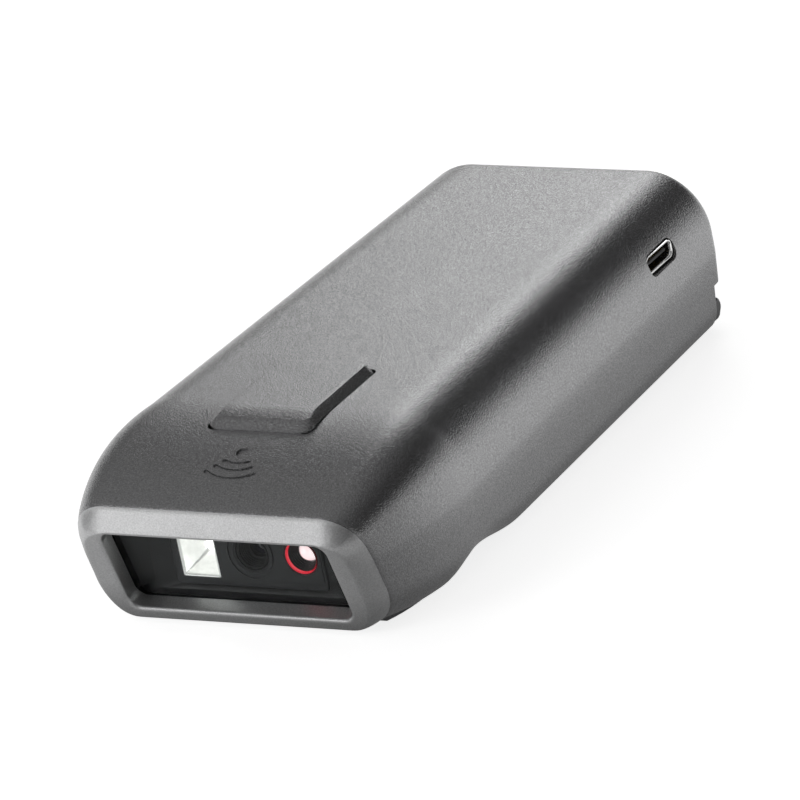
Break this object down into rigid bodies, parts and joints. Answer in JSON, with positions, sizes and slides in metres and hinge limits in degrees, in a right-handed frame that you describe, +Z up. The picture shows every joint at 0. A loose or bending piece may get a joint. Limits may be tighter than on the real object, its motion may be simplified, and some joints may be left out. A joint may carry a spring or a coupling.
{
  "type": "handheld scanner",
  "caption": "Palm-held wedge-fronted area scanner with a raised scan key on top, a recessed window in a leaning bezel and a side charging socket.",
  "frame": {"origin": "centre of the overall footprint, on the resting surface", "axes": "+Z up, -Y out of the scan window, +X the side with the charging socket"},
  "size_m": [0.0634, 0.1266, 0.0306],
  "materials": {
    "grain_plastic": "fine metallic grain, graphite",
    "cover_plastic": "fine grain, dark graphite",
    "bezel_plastic": "satin, light grey",
    "black_rubber": "matte",
    "clear_window": "clear, polished",
    "black_plastic": "matte black",
    "bright_metal": "bright plated",
    "lamp_white": "phosphor coated lamp",
    "lens_glass": "coated lens",
    "chip_black": "moulded chip",
    "red_plastic": "clear red",
    "aimer_glow": "lit lens",
    "board_green": "solder mask",
    "steel": "plain",
    "flex_amber": "polyimide film",
    "connector_plastic": "moulded",
    "gold_contact": "gold plated",
    "battery_foil": "foil pouch",
    "black_foam": "open cell foam",
    "wire_red": "soft insulation",
    "dark_screw": "black zinc"
  },
  "bodies": {
    "scanner": {"upper_housing": "grain_plastic", "bottom_cover": "cover_plastic", "front_bezel": "bezel_plastic", "window_gasket": "black_rubber", "window_pane": "clear_window", "light_baffle": "black_plastic", "engine_body": "black_plastic", "lamp_reflector": "bright_metal", "lamp_led": "lamp_white", "camera_barrel": "black_plastic", "camera_lens": "lens_glass", "image_sensor": "chip_black", "aimer_barrel": "black_plastic", "aimer_ring": "red_plastic", "aimer_lens": "aimer_glow", "aimer_led": "red_plastic", "image_board": "board_green", "engine_bracket": "steel", "engine_screws": "steel", "flex_cable": "flex_amber", "flex_connectors": "connector_plastic", "main_board": "board_green", "usb_shell": "bright_metal", "usb_tongue": "black_plastic", "usb_contacts": "gold_contact", "switch_body": "black_plastic", "processor": "chip_black", "power_chip": "chip_black", "wireless_module": "steel", "antenna": "gold_contact", "buzzer": "black_plastic", "vibration_motor": "steel", "battery_pack": "battery_foil", "battery_pad": "black_foam", "battery_connector": "connector_plastic", "battery_lead": "wire_red", "cover_screws": "dark_screw", "board_screws": "steel"},
    "key": {"scan_key": "grain_plastic", "key_seal": "black_rubber", "switch_plunger": "red_plastic"}
  },
  "joints": [
    {"name": "key_press", "type": "slide", "parent": "scanner", "child": "key", "axis": [0, 0, -1], "range_m": [0, 0.0006], "stiffness_N_per_m": 1500, "springref_m": -0.0004}
  ]
}
